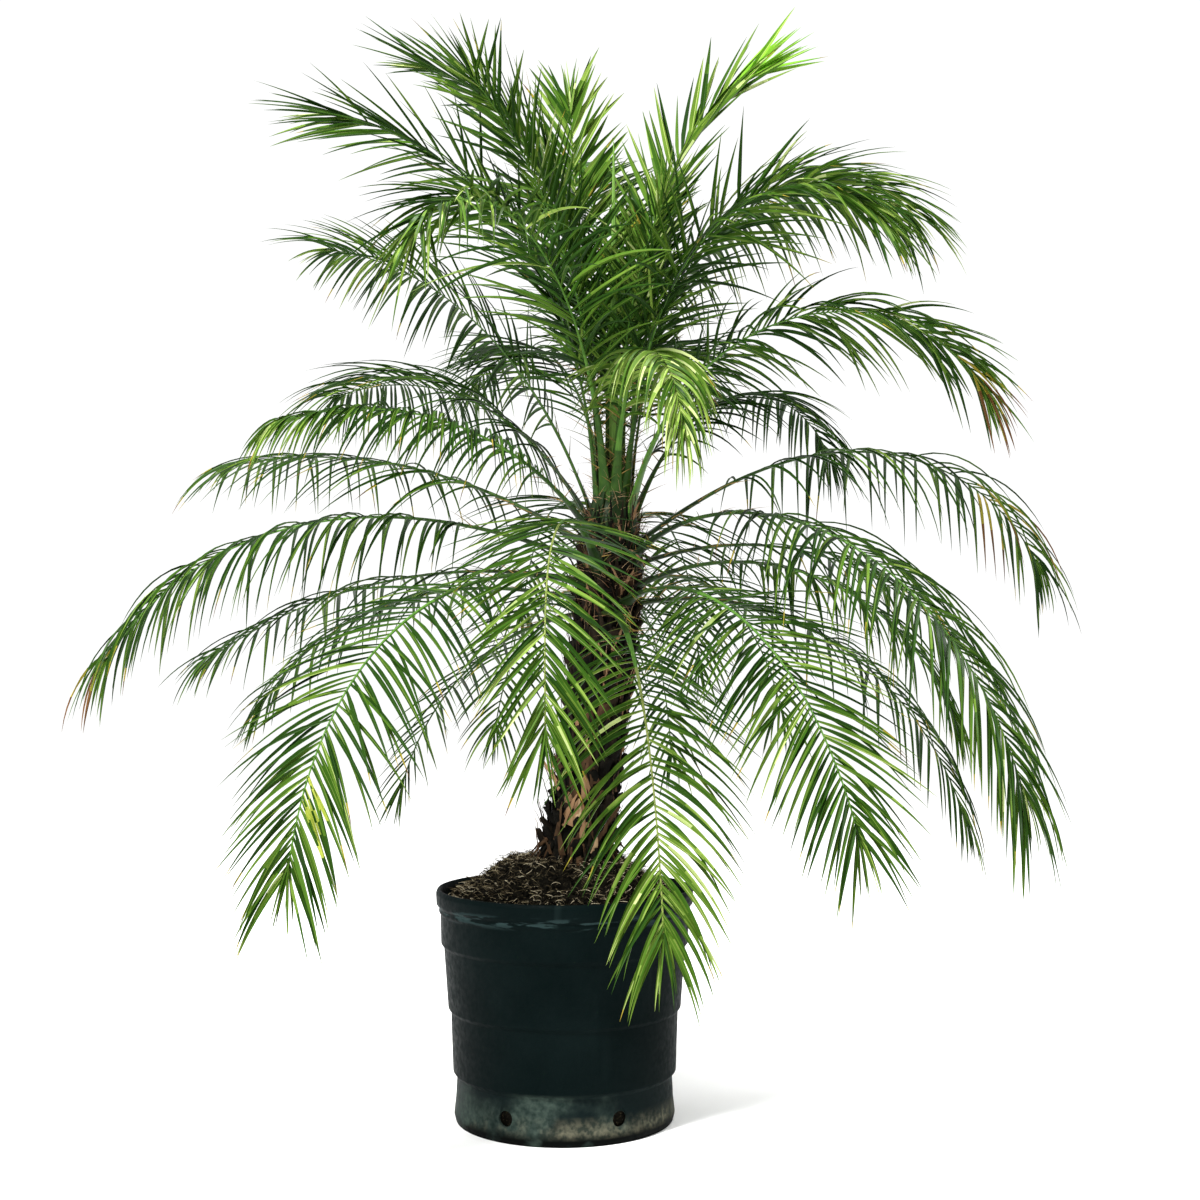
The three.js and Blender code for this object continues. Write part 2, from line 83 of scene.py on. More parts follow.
TRUNK_HEIGHT = 700
TRUNK_TOP = SOIL_CREST + TRUNK_HEIGHT
TRUNK_RADIUS = 50
TRUNK_TIP_RADIUS = 20
CROWN_START = 930                 # from here up the trunk narrows to its tip
TRUNK_OFFSET = 20                 # its foot stands this far right of the pot's middle,
TRUNK_LEAN = 65                   # and its tip leans this much further
FLARE = 22                        # added to its radius where it meets the soil
FLARE_HEIGHT = 38
SPEAR_LENGTH = 560
SPEAR_RADIUS = 9

RIB_STEPS = 60
ROOT_DEPTH = 25                   # how far a grown stem runs into the trunk
RIB_TIP = 2.5                     # a rib's width at its tip
RIB_WIDER = 9.5                   # added to its half width at the trunk,
RIB_HIGHER = 4                    # and to its half height
YOUNG_RISE = 80                   # a frond that rises this steeply has the slimmest stem,
GROWN_RISE = 40                   # and one this flat the stoutest
YOUNG_SLIM = 0.6
BARE_SHARE = 0.22                 # the share of a frond, from the trunk, without leaflets
LEAF_REACH = 0.295                # a leaflet's length as a share of its frond's
OPEN_SEAT = 1000                  # a frond seated here or lower has opened fully
CLOSED_SEAT = 1075                # one seated here or higher is only partly open
CLOSED_SHARE = 0.62
END_LEAF = 110                    # the leaflets that close a frond's tip

# One row for each frond, as in the solids, and its tone, which paints the light and shade on the frond
# into its green: 0 is deep green, as in shade, 1 bright green, as in the light.
COLUMNS = "name azimuth seat rise bend late length sweep roll droop tone".split()
FRONDS = [dict(zip(COLUMNS, row)) for row in [
    ("frond_left_upper", 150, 985, 32, 38, 1.0, 870, 0, 0, 0.6, 0.38),
    ("frond_left_long", 180, 962, 20, 79, 1.5, 920, 0, 0, 0.8, 0.42),
    ("frond_left_shaded", 160, 928, 11, 42, 1.0, 780, 0, 0, 0.6, 0.25),
    ("frond_left_front", 214, 915, 20, 100, 0.8, 845, 26, -15, 0.4, 0.46),
    ("frond_left_behind", 170, 895, 12, 68, 1.3, 650, 0, 0, 0.5, 0.35),
    ("frond_left_low", 148, 870, -5, 66, 1.0, 540, 0, 0, 0.35, 0.3),
    ("frond_front_left", 251, 935, 54, 140, 0.76, 725, 25, 0, 0.35, 0.56),
    ("frond_front_low", 278.5, 870, 2, 72, 0.7, 755, -3, 0, 0.5, 0.6),
    ("frond_front_right", 302, 885, 26, 92, 0.7, 780, -3, 18, 0.4, 0.52),
    ("frond_right_arch", 15, 990, 36, 99, 1.6, 900, 0, 0, 0.8, 0.38),
    ("frond_right_long", 321, 960, 50, 124, 0.63, 945, 0, 0, 0.7, 0.45),
    ("frond_right_middle", 25, 955, 19, 60, 1.1, 700, 0, 0, 0.7, 0.3),
    ("frond_right_front", 338, 915, 26, 94, 1.0, 650, 0, 0, 0.7, 0.42),
    ("frond_right_low", 12, 885, 15, 86, 0.85, 785, 0, 0, 0.7, 0.2),
    ("crown_left_back", 160, 1035, 69, 57, 1.3, 790, -6, 35, 0.45, 0.36),
    ("crown_left_front", 206, 1005, 54, 74, 1.0, 610, 0, 0, 0.8, 0.5),
    ("crown_left_low", 136, 1008, 57, 66, 1.0, 830, 4, 25, 0.6, 0.25),
    ("crown_left_tall", 171, 1100, 86, 66, 2.4, 880, -10, 10, 0.2, 0.42),
    ("crown_left_high", 201, 1060, 86, 77, 1.5, 870, -18, 0, 0.3, 0.36),
    ("crown_front_left", 243, 1070, 80, 128, 1.45, 860, 0, 0, 0.5, 0.54),
    ("crown_top_left", 138, 1105, 82, 8, 1.4, 720, -40, 0, 0.15, 0.7),
    ("crown_top_back", 66, 1100, 82, 30, 1.4, 620, 0, 0, 0.2, 0.55),
    ("crown_top_right", 350, 1090, 87, 57, 3.0, 790, 8, 40, 0.15, 0.7),
    ("crown_right_high", 24, 1060, 84, 112, 1.9, 935, -8, -25, 0.6, 0.55),
    ("crown_right_front", 316, 1075, 82, 130, 2.0, 810, 10, 0, 0.4, 0.52),
    ("crown_right_wide", 345, 1050, 76, 134, 1.3, 810, 5, -15, 0.5, 0.55),
    ("crown_right_back", 40, 1015, 64, 122, 1.6, 680, 0, 0, 0.6, 0.15),
    ("crown_front", 279, 1068, 85, 152, 1.0, 610, 6, 0, 0.85, 0.95),
    ("crown_back", 88, 1072, 78, 112, 1.4, 880, 5, 0, 0.35, 0.3),
    ("crown_back_left", 109, 1040, 70, 100, 1.3, 820, 12, 0, 0.45, 0.35),
    ("crown_back_right", 68, 1040, 72, 110, 1.4, 800, 10, 0, 0.45, 0.35),
    ("crown_back_tall", 102, 1112, 82, 62, 1.6, 840, -8, 0, 0.25, 0.4),
    ("crown_heart_left", 222, 1110, 84, 52, 1.5, 720, 8, 0, 0.25, 0.46),
    ("crown_heart_right", 286, 1114, 84, 40, 1.5, 470, 14, 0, 0.25, 0.5),
    ("frond_back_right", 72, 985, 40, 120, 1.0, 720, 0, 0, 0.45, 0.35),
    ("frond_back_left", 106, 975, 42, 105, 1.1, 740, 0, 0, 0.5, 0.35),
    ("frond_back", 88, 955, 30, 95, 1.1, 800, 0, 0, 0.5, 0.35),
    ("frond_back_low_left", 112, 900, 12, 76, 1.1, 680, 0, 0, 0.45, 0.3),
    ("frond_back_low", 78, 890, 14, 80, 1.0, 740, 0, 0, 0.45, 0.25),
    ("frond_back_low_right", 56, 915, 18, 84, 1.1, 700, 0, 0, 0.5, 0.3),
]]

# ---------- sizes of the finer leaflets and stems, in millimetres ----------
PITCH_TONES = (0.35, 0.45)        # a frond as bright as the second carries the most leaflets
PAIR_PITCH = (24, 12)             # between pairs of leaflets, on such fronds
CROWN_PITCH = (13, 9.5)           # the same, above OPEN_SEAT
TOP_PITCH = 15                    # the same, on the topmost fronds
CROWDING = 0.85                   # below 1: leaflets stand closer together towards the tip
DRY_TIPS = (0.25, 0.08)           # the share of dry tips on a grown and on a young frond
LEAF_WIDTH = 9
TOP_LEAF_WIDTH = 14
BROAD_LEAVES = {"crown_front": 11.5}
LEAF_STEPS = 9                    # faces along each half of a leaflet
LEAF_FOLD = 38                    # how far each half of a leaflet is folded up, in degrees
FULL_WIDTH_FROM = 150             # a leaflet shorter than this is narrower too
MIDRIB_WIDTH = 0.8
END_PLACES = (0.97, 0.985, 0.995, 1.0)  # the last leaflets' places along the rib
END_SPREAD = 0.3                  # how far they open, as a share of the others
END_LONGER = 1.45                 # than the solids' last ones, which are fewer
DROOPS = (0.2, 0.45, 0.7)         # leaflets that hang as much as this
STRAIGHT = (0.8, 0.2, 0.0)        # bow by this rule: 0 evenly from foot to tip, 1 not at all
TANGLED = {                       # fronds whose leaflets point more ways than on the others
    "crown_front_left": 2.2, "crown_right_front": 2.2, "crown_heart_left": 1.8,
    "crown_heart_right": 1.8, "crown_left_high": 1.6, "crown_right_wide": 1.6,
    "crown_back": 1.6, "crown_back_left": 1.6, "crown_back_right": 1.6,
}
RIB_RINGS = 64
RIB_SIDES = 8
SHEATH_WIDER = 9                  # added to the half width where a stem clasps the trunk
SHEATH_LENGTH = 45
SHEATH_DEPTH = 110                # how far a young stem's sheath runs down the trunk
SHEATH_LIFT = 4                   # and how far it stands off it
CLASPING_RISE = 60                # a frond that rises this steeply has such a sheath
SPINE_PITCH = 27
SPLIT_BASES = 590                 # below this the trunk has split into tan strips,
SPLIT_SIDE = math.radians(225)    # on this side
TRUNK_ROOM = 6                    # leaflets keep this far off the trunk,
POT_ROOM = 235                    # and out of a cylinder of this radius round the pot,
SOIL_ROOM = 10                    # which ends this far above the soil's crest


# ---------- small helpers ----------
def unit(vectors):
    return vectors / np.linalg.norm(vectors, axis=-1, keepdims=True)


def square_to(vectors, axis):
    """The part of the vectors that is square to the axis, as unit vectors."""
    return unit(vectors - (vectors * axis).sum(-1, keepdims=True) * axis)


def around(angle):
    """Unit vectors outward from a standing axis, at angles in radians from +X."""
    return np.stack([np.cos(angle), np.sin(angle), np.zeros_like(angle)], -1)


def colour(red, green, blue):
    """An sRGB colour of 0 to 255 as the linear values that shaders take."""
    shares = [value / 255 for value in (red, green, blue)]
    linear = [s / 12.92 if s <= 0.04045 else ((s + 0.055) / 1.055) ** 2.4 for s in shares]
    return (*linear, 1.0)


class Skin:
    """Gathers sheets and tubes of quads, in millimetres, into one joined piece."""

    def __init__(self):
        self.points, self.faces, self.slots, self.creases = [], [], [], []
        self.count = 0

    def add(self, rows, slots, closed=False, creases=()):
        """rows: sheets x rows x columns x 3. slots: the material of each sheet, row and column.

        A closed sheet joins its last column to its first, as a tube does. The lines along the
        columns in creases are kept sharp."""
        sheets, height, width, _ = rows.shape
        number = np.arange(sheets * height * width).reshape(sheets, height, width) + self.count
        right = np.roll(number, -1, axis=2) if closed else number[:, :, 1:]
        left = number if closed else number[:, :, :-1]
        quads = np.stack([left[:, :-1], right[:, :-1], right[:, 1:], left[:, 1:]], -1)
        shape = quads.shape[:3]
        crease = np.full(number.shape, -1)
        for column in creases:
            crease[:, :, column] = column
        self.points.append(rows.reshape(-1, 3))
        self.faces.append(quads.reshape(-1, 4))
        self.slots.append(np.broadcast_to(slots, shape).reshape(-1))
        self.creases.append(crease.reshape(-1))
        self.count += number.size

    def build(self, name, materials):
        """One smooth mesh, in metres, with these materials in the order of their numbers."""
        points, faces = np.concatenate(self.points) * MM, np.concatenate(self.faces)
        mesh = bpy.data.meshes.new(name)
        mesh.vertices.add(len(points))
        mesh.vertices.foreach_set("co", points.astype(np.float32).ravel())
        mesh.loops.add(faces.size)
        mesh.loops.foreach_set("vertex_index", faces.ravel().astype(np.int32))
        mesh.polygons.add(len(faces))
        mesh.polygons.foreach_set("loop_start", np.arange(0, faces.size, 4, dtype=np.int32))
        mesh.polygons.foreach_set("material_index", np.concatenate(self.slots).astype(np.int32))
        mesh.update(calc_edges=True)
        mesh.shade_smooth()
        ends = np.empty(len(mesh.edges) * 2, np.int32)
        mesh.edges.foreach_get("vertices", ends)
        crease = np.concatenate(self.creases)[ends.reshape(-1, 2)]
        sharp = mesh.attributes.get("sharp_edge")
        sharp = sharp or mesh.attributes.new("sharp_edge", "BOOLEAN", "EDGE")
        sharp.data.foreach_set("value", (crease[:, 0] >= 0) & (crease[:, 0] == crease[:, 1]))
        for material in materials:
            mesh.materials.append(material)
        piece = bpy.data.objects.new(name, mesh)
        bpy.context.scene.collection.objects.link(piece)
        return piece


def dress(piece, slot, *nodes):
    """Rides a finished piece on the plant, in the place of the named solids."""
    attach(piece, "root")
    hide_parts(*nodes)


# ---------- materials ----------
class Shader:
    """A material whose colour, roughness and relief come from nodes."""

    def __init__(self, name, roughness, specular=0.5):
        self.material = bpy.data.materials.new(name)
        self.material.use_nodes = True
        self.tree = self.material.node_tree
        self.surface = self.tree.nodes["Principled BSDF"]
        self.surface.inputs["Roughness"].default_value = roughness
        self.surface.inputs["Specular IOR Level"].default_value = specular
        self.place = self.tree.nodes.new("ShaderNodeTexCoord").outputs["Object"]

    def link(self, source, target):
        self.tree.links.new(source, target)

    def node(self, kind, **inputs):
        made = self.tree.nodes.new(kind)
        for name, value in inputs.items():
            socket = made.inputs[name.replace("_", " ")]
            if hasattr(value, "is_output"):
                self.link(value, socket)
            else:
                socket.default_value = value
        return made

    def noise(self, scale, detail=4.0, stretch=(1, 1, 1)):
        moved = self.node("ShaderNodeMapping", Vector=self.place, Scale=stretch)
        made = self.node("ShaderNodeTexNoise", Vector=moved.outputs["Vector"], Scale=scale, Detail=detail)
        return made.outputs["Fac"]

    def height(self):
        return self.node("ShaderNodeSeparateXYZ", Vector=self.place).outputs["Z"]

    def remap(self, value, low, high, to_low=0.0, to_high=1.0):
        """The value, mapped from low..high and held inside."""
        made = self.node("ShaderNodeMapRange", Value=value, From_Min=low, From_Max=high,
                         To_Min=to_low, To_Max=to_high)
        return made.outputs["Result"]

    def times(self, first, second):
        made = self.tree.nodes.new("ShaderNodeMath")
        made.operation = "MULTIPLY"
        self.link(first, made.inputs[0])
        self.link(second, made.inputs[1])
        return made.outputs[0]

    def mix(self, share, first, second):
        """The two colours, mixed by a share from 0 to 1."""
        made = self.tree.nodes.new("ShaderNodeMix")
        made.data_type = "RGBA"
        self.link(share, made.inputs["Factor"])
        for socket, value in ((made.inputs[6], first), (made.inputs[7], second)):
            if hasattr(value, "is_output"):
                self.link(value, socket)
            else:
                socket.default_value = value
        return made.outputs[2]

    def paint(self, value):
        self.link(value, self.surface.inputs["Base Color"])

    def shine(self, value):
        self.link(value, self.surface.inputs["Roughness"])

    def relief(self, value, depth, strength=1.0):
        """Relief as deep as depth, in millimetres."""
        made = self.node("ShaderNodeBump", Height=value, Distance=depth * MM, Strength=strength)
        self.link(made.outputs["Normal"], self.surface.inputs["Normal"])


def two_tone(name, first, second, scale, roughness, depth=0.0, stretch=(1, 1, 1), specular=0.2):
    """Two colours mixed by noise, with relief of the same noise."""
    shader = Shader(name, roughness, specular)
    grain = shader.noise(scale, stretch=stretch)
    shader.paint(shader.mix(shader.remap(grain, 0.35, 0.65), colour(*first), colour(*second)))
    if depth:
        shader.relief(grain, depth)
    return shader.material


# Leaf colours from deep shade to bright, then yellowing and dry, as pairs of near tones.
LEAF_TONES = [
    ("leaf_deep", (12, 31, 5), (17, 38, 7)),
    ("leaf_dark", (18, 41, 7), (24, 48, 9)),
    ("leaf_green", (26, 52, 10), (34, 61, 13)),
    ("leaf_mid", (38, 67, 14), (47, 76, 18)),
    ("leaf_fresh", (54, 84, 21), (64, 92, 26)),
    ("leaf_bright", (73, 100, 31), (86, 111, 39)),
    ("leaf_lime", (98, 124, 48), (114, 136, 60)),
    ("leaf_glint", (146, 162, 98), (164, 176, 120)),
    ("leaf_young", (90, 140, 32), (116, 160, 50)),
    ("leaf_yellow", (118, 130, 44), (140, 148, 62)),
    ("leaf_ochre", (118, 112, 34), (136, 120, 46)),
    ("leaf_dry", (98, 68, 36), (70, 48, 26)),
    # Midrib colours: the leaflet's own midrib, painted dark on a shaded leaflet and pale as a painted
    # glint on a lit one.
    ("midrib_dark", (30, 55, 18), (42, 66, 24)),
    ("midrib_green", (74, 96, 36), (90, 108, 44)),
    ("midrib_glint", (134, 146, 82), (150, 158, 98)),
]
TONE_NUMBER = {name: number for number, (name, _, _) in enumerate(LEAF_TONES)}
LIME = TONE_NUMBER["leaf_lime"]   # the brightest tone of a grown leaflet
# Painted light and shade on the leaflets: the mean tone comes from the frond's painted tone, and leaflets
# are painted darker near a frond's foot, deep in the crown, and brighter towards its tip, out in the
# light.
MEAN_TONES = (0.4, 4.8)           # on a frond whose own tone is 0, and on one whose is 1
TONE_SPREAD = 1.0                 # between the leaflets of one frond
OUTWARD_TONES = 1.6               # how many tones a frond gains from its foot to its tip,
MEAN_PLACE = 0.6                  # with its mean tone here along it
GLINT_TONES = 2                   # how many tones brighter a leaflet is where it catches the light
GLINT_ODDS = (0.06, 0.42)         # that half of a leaflet does so, for the darkest and for lime

# Spans of a frond, by share of its length, where leaflets have died back, where those on its
# left side have yellowed at their feet, and where they are young and lime.
DIED_BACK = {
    "frond_right_arch": (0.72, 0.86), "crown_right_wide": (0.9, 1.0), "frond_left_long": (0.96, 1.0),
}
YELLOWED = {"frond_left_front": (0.81, 0.88)}
YOUNG = {"crown_top_right": (0.92, 1.0)}
NOWHERE = (2, 2)

# Stem colours from painted shade, through the pale of a stem painted as in the light, to old brown.
STEM_TONES = [
    ("stem_deep", (18, 34, 11), (26, 43, 15)),
    ("stem_green", (32, 57, 18), (46, 71, 24)),
    ("stem_bright", (60, 98, 34), (76, 112, 42)),
    ("stem_pale", (98, 112, 50), (116, 126, 64)),
    ("stem_old", (54, 46, 24), (70, 58, 32)),
]
STOUT_STEM = "crown_right_wide"   # a broad bright stem that stands before the others
STOUT = 1.9                       # how many times broader than theirs it is
SPINE_TONES = [
    ("spine_tan", (112, 86, 42), (134, 108, 58)),
    ("spine_green", (62, 72, 28), (82, 86, 38)),
]


# ---------- frond ribs ----------
def trunk_middle(height):
    share = (np.asarray(height, float) - SOIL_CREST) / TRUNK_HEIGHT
    x = TRUNK_OFFSET + TRUNK_LEAN * np.sin(share * math.pi / 2)
    return np.stack([x, np.zeros_like(x), np.asarray(height, float)], -1)


def trunk_radius(height):
    flare = FLARE * np.exp(-(height - SOIL_CREST) / FLARE_HEIGHT)
    narrowing = np.maximum(0, (height - CROWN_START) / (TRUNK_TOP - CROWN_START))
    return TRUNK_RADIUS + flare - (TRUNK_RADIUS - TRUNK_TIP_RADIUS) * narrowing


class Rib:
    """The curve of one frond. t runs from 0 at the trunk to 1 at the tip of the rib."""

    def __init__(self, frond):
        self.frond = frond
        self.length = frond["length"]
        self.outward = around(np.radians(frond["azimuth"]))
        seat = trunk_middle(frond["seat"]) + self.outward * trunk_radius(frond["seat"])
        middles = (np.arange(RIB_STEPS) + 0.5) / RIB_STEPS
        steps = self.along(middles) * self.length / RIB_STEPS
        self.points = np.vstack([seat, seat + np.cumsum(steps, axis=0)])

    def turn(self, t):
        return np.radians(self.frond["azimuth"] + self.frond["sweep"] * t)

    def along(self, t):
        frond = self.frond
        slope = np.radians(frond["rise"] - frond["bend"] * np.maximum(t, 0) ** frond["late"])
        turn = self.turn(t)
        return np.stack([np.cos(slope) * np.cos(turn), np.cos(slope) * np.sin(turn), np.sin(slope)], -1)

    def point(self, t):
        knots = np.arange(RIB_STEPS + 1) / RIB_STEPS
        place = np.stack([np.interp(t, knots, self.points[:, axis]) for axis in range(3)], -1)
        below = np.minimum(t, 0)[:, None] * self.length
        if not self.young():
            return place + below * self.along(np.zeros(1))
        height = self.frond["seat"] + below
        lift = SHEATH_LIFT * np.minimum(1, -below / SHEATH_LENGTH)
        clasped = trunk_middle(height[:, 0]) + self.outward * (trunk_radius(height) + lift)
        return np.where(t[:, None] < 0, clasped, place)

    def young(self):
        return self.frond["rise"] >= CLASPING_RISE

    def frame(self, t):
        """Directions along the rib, out to its left side, and up out of the blade."""
        along = self.along(t)
        level = np.cross(UP, around(self.turn(t)))
        roll = np.radians(self.frond["roll"]) * np.minimum(1, np.maximum(0, t) / BARE_SHARE)[:, None]
        side = level * np.cos(roll) + np.cross(along, level) * np.sin(roll)
        return along, side, np.cross(along, side)

    def half_sizes(self, t):
        """Half width and half height of the rib's section."""
        share = np.clip(1 - t, 0, 1)
        young = np.interp(self.frond["rise"], (GROWN_RISE, YOUNG_RISE), (1, YOUNG_SLIM))
        clasp = SHEATH_WIDER * np.exp(-np.maximum(t, 0) * self.length / SHEATH_LENGTH)
        stout = 1 + (STOUT - 1) * share ** 2 if self.frond["name"] == STOUT_STEM else 1
        wide = (RIB_TIP * 0.55 + RIB_WIDER * share ** 4 + clasp) * (0.4 + 0.6 * young) * stout
        high = (RIB_TIP * 0.5 + RIB_HIGHER * share ** 2) * young
        return wide, high


def stem_tones(rib, t):
    """Darkest at the trunk, painted shade in the heart of the crown; the rib of a frond painted bright,
    as in the light, grows pale towards its tip.
    """
    last = np.interp(rib.frond["tone"], (0.2, 0.45, 0.6), (0.8, 1.7, 3))
    first = 0.8 if rib.young() else 0
    if rib.frond["name"] == STOUT_STEM:
        first = last = 2
    return np.interp(t, (-0.04, 0.02, 0.45), (0, first, last)).round().astype(int)


def rib_tube(skin, rib):
    """The stem and rib: flat with a shallow channel above at its foot, round at its tip."""
    depth = SHEATH_DEPTH if rib.young() else ROOT_DEPTH
    t = np.linspace(-depth / rib.length, 1, RIB_RINGS)
    _, side, over = rib.frame(t)
    wide, high = rib.half_sizes(t)
    angle = np.arange(RIB_SIDES) / RIB_SIDES * 2 * math.pi
    channel = np.where(np.isclose(angle, math.pi / 2), 0.45, 1.0)
    across = np.cos(angle)[None, :, None] * wide[:, None, None] * side[:, None]
    upward = (np.sin(angle) * channel)[None, :, None] * high[:, None, None] * over[:, None]
    rows = rib.point(t)[:, None] - across + upward
    skin.add(rows[None, ::-1], stem_tones(rib, t[1:])[::-1, None], closed=True)


# ---------- leaflets ----------
def leaf_share(u):
    return np.minimum(1, 0.5 + 2.5 * u) * (1 - 0.35 * u * u)


def leaf_angle(u, seat):
    """Degrees between a leaflet and its rib; a young frond near the heart is only half open."""
    return (72 - 42 * u * u) * np.interp(seat, (OPEN_SEAT, CLOSED_SEAT), (1, CLOSED_SHARE))


def half_width(s):
    """Half width of a leaflet along its length, as a share of its widest."""
    narrowing = np.sin(np.minimum(1, (1 - s) * 1.25) * math.pi / 2)
    return np.minimum(np.minimum(1, 0.42 + 2.6 * s), narrowing) ** 0.9


def leaf_lines(rib, t, side, random, length_share=1.0):
    """Root, first direction, hanging direction and length of leaflets on one side of a rib,
    with the directions along the rib and up out of the blade there."""
    u = np.clip((t - BARE_SHARE) / (1 - BARE_SHARE), 0, 1)
    along, left, over = rib.frame(t)
    tangle = TANGLED.get(rib.frond["name"], 1.0)
    angle = leaf_angle(u, rib.frond["seat"]) + random.normal(0, 4.5 * tangle, len(t))
    angle = np.radians(angle)[:, None]
    lift = (0.12 + random.normal(0, 0.1 * tangle, len(t)))[:, None]
    droop = rib.frond["droop"] * random.uniform(1 - 0.3 * tangle, 1.25, len(t))
    length = LEAF_REACH * rib.length * leaf_share(u) * random.uniform(0.86, 1.0, len(t)) * length_share
    out = unit(along * np.cos(angle) + left * side * np.sin(angle) + over * lift)
    hanging = unit(out - droop[:, None] * UP)
    return rib.point(t), out, hanging, length, along, over


def clear_of_plant(points):
    """Which leaflets stay out of the trunk, the pot and the soil beyond their feet."""
    x, y, height = points[..., 0], points[..., 1], points[..., 2]
    off_trunk = np.hypot(x - trunk_middle(height)[..., 0], y)
    in_trunk = off_trunk < trunk_radius(np.maximum(height, SOIL_CREST)) + TRUNK_ROOM
    in_trunk &= height < TRUNK_TOP
    in_pot = (np.hypot(x, y) < POT_ROOM) & (height < SOIL_CREST + SOIL_ROOM)
    return ~(in_trunk[:, 2:] | in_pot[:, 2:]).any(axis=1)


def lit_tones(tones, random):
    """The tones of one half of each leaflet along its length; some glint on a stretch of it."""
    count = len(tones)
    steps = np.arange(LEAF_STEPS)[None]
    first = random.uniform(0, 0.6, count)[:, None] * LEAF_STEPS
    last = first + random.uniform(0.15, 0.5, count)[:, None] * LEAF_STEPS
    catches = random.random(count) < np.interp(tones, (0, LIME), GLINT_ODDS)
    glints = catches[:, None] & (tones <= LIME)[:, None] & (steps >= first) & (steps < last)
    brighter = np.minimum(tones + GLINT_TONES, TONE_NUMBER["leaf_glint"])
    return np.where(glints, brighter[:, None], tones[:, None])


def blades(lines, widest, straight, random):
    """Folded blades along the lines, as rows of four points across: edge, midrib, edge."""
    root, out, hanging, length, along, over = lines
    s = np.linspace(0, 1, LEAF_STEPS + 1)[None, :, None]
    bend = root + (out + (hanging - out) * straight) * length[:, None] / 2
    tip = root + hanging * length[:, None]
    middle = (1 - s) ** 2 * root[:, None] + 2 * s * (1 - s) * bend[:, None] + s ** 2 * tip[:, None]
    tangent = unit((1 - s) * (bend - root)[:, None] + s * (tip - bend)[:, None])
    across = square_to(np.broadcast_to(along[:, None], tangent.shape), tangent)
    upper = np.cross(tangent, across)
    upper = upper * np.sign((upper * over[:, None]).sum(-1, keepdims=True))
    twist = random.normal(0, 0.35, len(root))[:, None, None] * s
    turned = across * np.cos(twist) + upper * np.sin(twist)
    across, upper = turned, upper * np.cos(twist) - across * np.sin(twist)
    width = widest / 2 * random.uniform(0.75, 1.15, len(root))
    width = width * np.minimum(1, length / FULL_WIDTH_FROM)
    wide = width[:, None, None] * half_width(s) + 0.15
    fold = math.radians(LEAF_FOLD)
    edge = across * wide * math.cos(fold)
    rise = upper * wide * math.sin(fold)
    rib = across * np.minimum(MIDRIB_WIDTH / 2, wide * 0.3)
    rows = np.stack([middle - edge + rise, middle - rib, middle + rib, middle + edge + rise], axis=2)
    return rows, clear_of_plant(middle)


def blade_tones(tones, yellow, dry, random):
    """The tones of each blade's faces: along it, by half blade, midrib, half blade."""
    # The midrib takes its leaflet's painted light: dark in painted shade, the pale painted glint on the
    # brightest.
    midrib = np.interp(tones, (1.5, 4, LIME), (0, 1, 2)).round().astype(int) + TONE_NUMBER["midrib_dark"]
    midrib = np.repeat(midrib[:, None], LEAF_STEPS, axis=1)
    slots = np.stack([lit_tones(tones, random), midrib, lit_tones(tones, random)], -1)
    steps = np.arange(LEAF_STEPS)[None, :, None] / LEAF_STEPS
    blotches = (steps < yellow[:, None, None]) & (random.random(slots.shape) < 0.6)
    slots = np.where(blotches, TONE_NUMBER["leaf_yellow"], slots)
    slots = np.where(steps >= 1 - 2 * dry[:, None, None], TONE_NUMBER["leaf_ochre"], slots)
    return np.where(steps >= 1 - dry[:, None, None], TONE_NUMBER["leaf_dry"], slots)


def add_leaflets(skin, lines, widest, straight, tones, yellow, dry, random):
    """The leaflets on these lines that stay clear of the rest of the plant.

    yellow is how much of each is yellow from its foot, dry how much is dead at its tip."""
    rows, keep = blades(lines, widest, straight, random)
    slots = blade_tones(tones, yellow, dry, random)
    skin.add(rows[keep], slots[keep], creases=(1, 2))


def within(span, t):
    return (t >= span[0]) & (t <= span[1])


def worn(rib, t, side, random):
    """The share of each leaflet that is yellow at its foot, and that is dead at its tip."""
    name, count = rib.frond["name"], len(t)
    yellowed = within(YELLOWED.get(name, NOWHERE), t) & (side > 0)
    dying = within(DIED_BACK.get(name, NOWHERE), t) & (random.random(count) < 0.55)
    dry = random.random(count) < DRY_TIPS[rib.young()]
    tips = np.where(dry, random.uniform(0.04, 0.13, count), 0)
    return (np.where(yellowed, random.uniform(0.15, 0.6, count), 0),
            np.where(dying, random.uniform(0.2, 0.8, count), tips))


def leaf_tones(rib, t, random):
    # Each leaflet's tone is painted light and shade: its frond's tone, darker towards the foot in the
    # crown and brighter towards the tip, with a random spread.
    mean = np.interp(rib.frond["tone"], (0, 1), MEAN_TONES) + (t - MEAN_PLACE) * OUTWARD_TONES
    tones = np.clip(random.normal(mean, TONE_SPREAD), 0, LIME).round().astype(int)
    young = within(YOUNG.get(rib.frond["name"], NOWHERE), t)
    return np.where(young, TONE_NUMBER["leaf_young"], tones)


